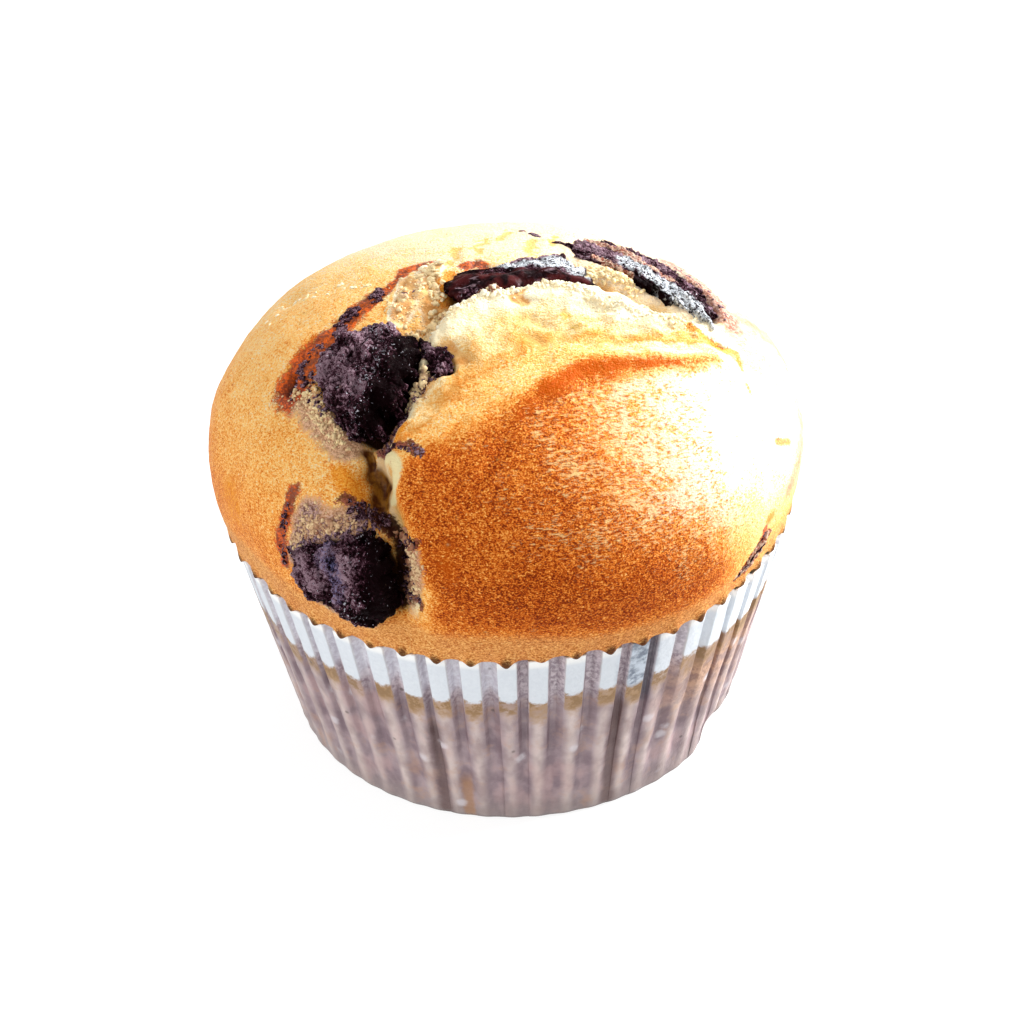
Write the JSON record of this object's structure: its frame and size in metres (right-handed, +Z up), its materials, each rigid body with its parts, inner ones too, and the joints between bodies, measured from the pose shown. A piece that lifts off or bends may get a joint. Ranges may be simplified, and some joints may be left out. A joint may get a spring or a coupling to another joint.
{
  "type": "chocolate chunk muffin",
  "caption": "Muffin in a pleated paper case, with a domed, browned top split by a crack in which chunks and strips of chocolate sit.",
  "frame": {"origin": "centre of the underside of the paper case, on the surface that the muffin stands on", "axes": "+Z up through the dome; -Y is the front, where the browned crust faces; +X is to the right as seen from the front"},
  "size_m": [0.0732, 0.0732, 0.0598],
  "materials": {
    "paper": "greaseproof paper, clean and white at the rim, stained by fat below",
    "crust": "baked sponge cake, golden to deep brown, matt and finely pored",
    "chocolate": "dark chocolate that melted and set again, part matt and part glossy"
  },
  "bodies": {
    "root": {"paper_case": "paper", "muffin": "crust", "chocolate_chunk_upper": "chocolate", "chocolate_chunk_lower": "chocolate", "chocolate_strip_crest": "chocolate", "chocolate_strip_right": "chocolate", "chocolate_bit_upper": "chocolate", "chocolate_bit_rim": "chocolate"}
  },
  "joints": []
}
